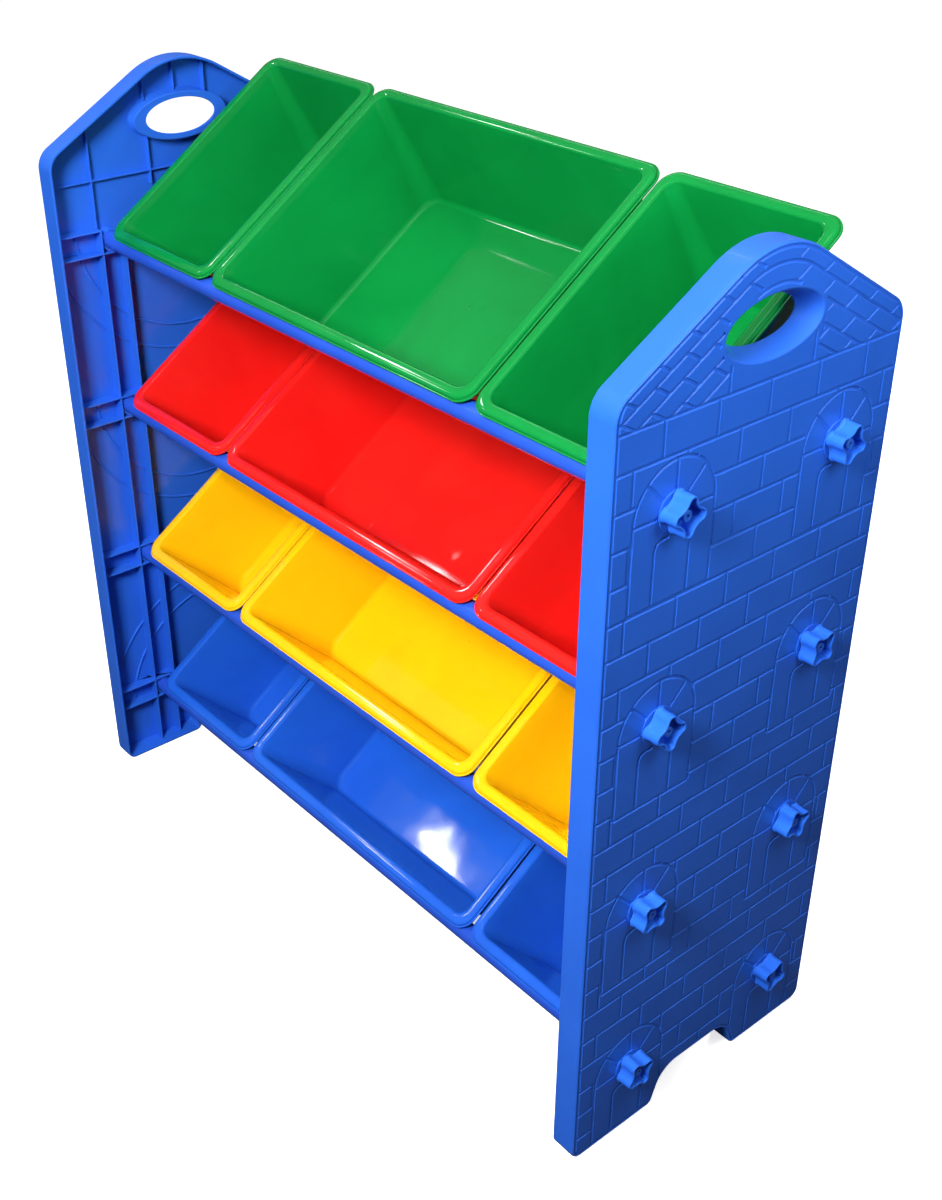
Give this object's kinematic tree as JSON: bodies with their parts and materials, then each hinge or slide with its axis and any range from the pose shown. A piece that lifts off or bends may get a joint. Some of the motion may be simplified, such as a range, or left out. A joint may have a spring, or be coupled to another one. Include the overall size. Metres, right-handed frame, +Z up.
{
  "type": "toy storage organizer",
  "caption": "Low free-standing toy rack: two moulded side panels joined by tubes, with small and large lift-out bins leaning in tiers.",
  "frame": {"origin": "on the floor, midway between the outer faces of the two side panels and midway between front and rear", "axes": "+Z up, -Y towards the front, where the bins are lowest, +X towards the right-hand panel as seen from the front"},
  "size_m": [0.926, 0.348, 0.8959],
  "materials": {
    "panel": "moulded polypropylene, satin",
    "rail": "extruded tube, glossy",
    "plug": "moulded",
    "knob": "moulded, semi-gloss",
    "bin_green": "moulded, glossy",
    "bin_red": "moulded, glossy",
    "bin_yellow": "moulded, glossy",
    "bin_blue": "moulded, glossy"
  },
  "bodies": {
    "rack": {"left_side_panel": "panel", "right_side_panel": "panel", "rail_front_1": "rail", "plug_left_front_1": "plug", "plug_right_front_1": "plug", "rail_rear_1": "rail", "plug_left_rear_1": "plug", "plug_right_rear_1": "plug", "rail_front_2": "rail", "plug_left_front_2": "plug", "plug_right_front_2": "plug", "rail_rear_2": "rail", "plug_left_rear_2": "plug", "plug_right_rear_2": "plug", "rail_front_3": "rail", "plug_left_front_3": "plug", "plug_right_front_3": "plug", "rail_rear_3": "rail", "plug_left_rear_3": "plug", "plug_right_rear_3": "plug", "rail_front_4": "rail", "plug_left_front_4": "plug", "plug_right_front_4": "plug", "rail_rear_4": "rail", "plug_left_rear_4": "plug", "plug_right_rear_4": "plug"},
    "knob_left_front_1": {"knob_left_front_1": "knob"},
    "knob_right_front_1": {"knob_right_front_1": "knob"},
    "knob_left_rear_1": {"knob_left_rear_1": "knob"},
    "knob_right_rear_1": {"knob_right_rear_1": "knob"},
    "knob_left_front_2": {"knob_left_front_2": "knob"},
    "knob_right_front_2": {"knob_right_front_2": "knob"},
    "knob_left_rear_2": {"knob_left_rear_2": "knob"},
    "knob_right_rear_2": {"knob_right_rear_2": "knob"},
    "knob_left_front_3": {"knob_left_front_3": "knob"},
    "knob_right_front_3": {"knob_right_front_3": "knob"},
    "knob_left_rear_3": {"knob_left_rear_3": "knob"},
    "knob_right_rear_3": {"knob_right_rear_3": "knob"},
    "knob_left_front_4": {"knob_left_front_4": "knob"},
    "knob_right_front_4": {"knob_right_front_4": "knob"},
    "knob_left_rear_4": {"knob_left_rear_4": "knob"},
    "knob_right_rear_4": {"knob_right_rear_4": "knob"},
    "bin_left_1": {"bin_left_1": "bin_green"},
    "bin_middle_1": {"bin_middle_1": "bin_green"},
    "bin_right_1": {"bin_right_1": "bin_green"},
    "bin_left_2": {"bin_left_2": "bin_red"},
    "bin_middle_2": {"bin_middle_2": "bin_red"},
    "bin_right_2": {"bin_right_2": "bin_red"},
    "bin_left_3": {"bin_left_3": "bin_yellow"},
    "bin_middle_3": {"bin_middle_3": "bin_yellow"},
    "bin_right_3": {"bin_right_3": "bin_yellow"},
    "bin_left_4": {"bin_left_4": "bin_blue"},
    "bin_middle_4": {"bin_middle_4": "bin_blue"},
    "bin_right_4": {"bin_right_4": "bin_blue"}
  },
  "joints": [
    {"name": "turn_knob_left_front_1", "type": "hinge", "parent": "rack", "child": "knob_left_front_1", "pos_m": [-0.445, -0.1015, 0.7016], "axis": [-1, 0, 0], "range_deg": [0, 1440]},
    {"name": "turn_knob_right_front_1", "type": "hinge", "parent": "rack", "child": "knob_right_front_1", "pos_m": [0.445, -0.1015, 0.7016], "axis": [1, 0, 0], "range_deg": [0, 1440]},
    {"name": "turn_knob_left_rear_1", "type": "hinge", "parent": "rack", "child": "knob_left_rear_1", "pos_m": [-0.445, 0.1015, 0.7016], "axis": [-1, 0, 0], "range_deg": [0, 1440]},
    {"name": "turn_knob_right_rear_1", "type": "hinge", "parent": "rack", "child": "knob_right_rear_1", "pos_m": [0.445, 0.1015, 0.7016], "axis": [1, 0, 0], "range_deg": [0, 1440]},
    {"name": "turn_knob_left_front_2", "type": "hinge", "parent": "rack", "child": "knob_left_front_2", "pos_m": [-0.445, -0.1015, 0.4964], "axis": [-1, 0, 0], "range_deg": [0, 1440]},
    {"name": "turn_knob_right_front_2", "type": "hinge", "parent": "rack", "child": "knob_right_front_2", "pos_m": [0.445, -0.1015, 0.4964], "axis": [1, 0, 0], "range_deg": [0, 1440]},
    {"name": "turn_knob_left_rear_2", "type": "hinge", "parent": "rack", "child": "knob_left_rear_2", "pos_m": [-0.445, 0.1015, 0.4964], "axis": [-1, 0, 0], "range_deg": [0, 1440]},
    {"name": "turn_knob_right_rear_2", "type": "hinge", "parent": "rack", "child": "knob_right_rear_2", "pos_m": [0.445, 0.1015, 0.4964], "axis": [1, 0, 0], "range_deg": [0, 1440]},
    {"name": "turn_knob_left_front_3", "type": "hinge", "parent": "rack", "child": "knob_left_front_3", "pos_m": [-0.445, -0.1015, 0.2912], "axis": [-1, 0, 0], "range_deg": [0, 1440]},
    {"name": "turn_knob_right_front_3", "type": "hinge", "parent": "rack", "child": "knob_right_front_3", "pos_m": [0.445, -0.1015, 0.2912], "axis": [1, 0, 0], "range_deg": [0, 1440]},
    {"name": "turn_knob_left_rear_3", "type": "hinge", "parent": "rack", "child": "knob_left_rear_3", "pos_m": [-0.445, 0.1015, 0.2912], "axis": [-1, 0, 0], "range_deg": [0, 1440]},
    {"name": "turn_knob_right_rear_3", "type": "hinge", "parent": "rack", "child": "knob_right_rear_3", "pos_m": [0.445, 0.1015, 0.2912], "axis": [1, 0, 0], "range_deg": [0, 1440]},
    {"name": "turn_knob_left_front_4", "type": "hinge", "parent": "rack", "child": "knob_left_front_4", "pos_m": [-0.445, -0.1015, 0.086], "axis": [-1, 0, 0], "range_deg": [0, 1440]},
    {"name": "turn_knob_right_front_4", "type": "hinge", "parent": "rack", "child": "knob_right_front_4", "pos_m": [0.445, -0.1015, 0.086], "axis": [1, 0, 0], "range_deg": [0, 1440]},
    {"name": "turn_knob_left_rear_4", "type": "hinge", "parent": "rack", "child": "knob_left_rear_4", "pos_m": [-0.445, 0.1015, 0.086], "axis": [-1, 0, 0], "range_deg": [0, 1440]},
    {"name": "turn_knob_right_rear_4", "type": "hinge", "parent": "rack", "child": "knob_right_rear_4", "pos_m": [0.445, 0.1015, 0.086], "axis": [1, 0, 0], "range_deg": [0, 1440]},
    {"name": "lift_bin_left_1", "type": "slide", "parent": "rack", "child": "bin_left_1", "axis": [0, 0, 1], "range_m": [0, 0.15]},
    {"name": "lift_bin_middle_1", "type": "slide", "parent": "rack", "child": "bin_middle_1", "axis": [0, 0, 1], "range_m": [0, 0.15]},
    {"name": "lift_bin_right_1", "type": "slide", "parent": "rack", "child": "bin_right_1", "axis": [0, 0, 1], "range_m": [0, 0.15]},
    {"name": "tip_bin_left_2", "type": "hinge", "parent": "rack", "child": "bin_left_2", "pos_m": [-0.31325, 0.1015, 0.4964], "axis": [-1, 0, 0], "range_deg": [0, 34.8]},
    {"name": "tip_bin_middle_2", "type": "hinge", "parent": "rack", "child": "bin_middle_2", "pos_m": [0, 0.1015, 0.4964], "axis": [-1, 0, 0], "range_deg": [0, 34.8]},
    {"name": "tip_bin_right_2", "type": "hinge", "parent": "rack", "child": "bin_right_2", "pos_m": [0.31325, 0.1015, 0.4964], "axis": [-1, 0, 0], "range_deg": [0, 34.8]},
    {"name": "tip_bin_left_3", "type": "hinge", "parent": "rack", "child": "bin_left_3", "pos_m": [-0.31325, 0.1015, 0.2912], "axis": [-1, 0, 0], "range_deg": [0, 34.8]},
    {"name": "tip_bin_middle_3", "type": "hinge", "parent": "rack", "child": "bin_middle_3", "pos_m": [0, 0.1015, 0.2912], "axis": [-1, 0, 0], "range_deg": [0, 34.8]},
    {"name": "tip_bin_right_3", "type": "hinge", "parent": "rack", "child": "bin_right_3", "pos_m": [0.31325, 0.1015, 0.2912], "axis": [-1, 0, 0], "range_deg": [0, 34.8]},
    {"name": "tip_bin_left_4", "type": "hinge", "parent": "rack", "child": "bin_left_4", "pos_m": [-0.31325, 0.1015, 0.086], "axis": [-1, 0, 0], "range_deg": [0, 34.8]},
    {"name": "tip_bin_middle_4", "type": "hinge", "parent": "rack", "child": "bin_middle_4", "pos_m": [0, 0.1015, 0.086], "axis": [-1, 0, 0], "range_deg": [0, 34.8]},
    {"name": "tip_bin_right_4", "type": "hinge", "parent": "rack", "child": "bin_right_4", "pos_m": [0.31325, 0.1015, 0.086], "axis": [-1, 0, 0], "range_deg": [0, 34.8]}
  ]
}
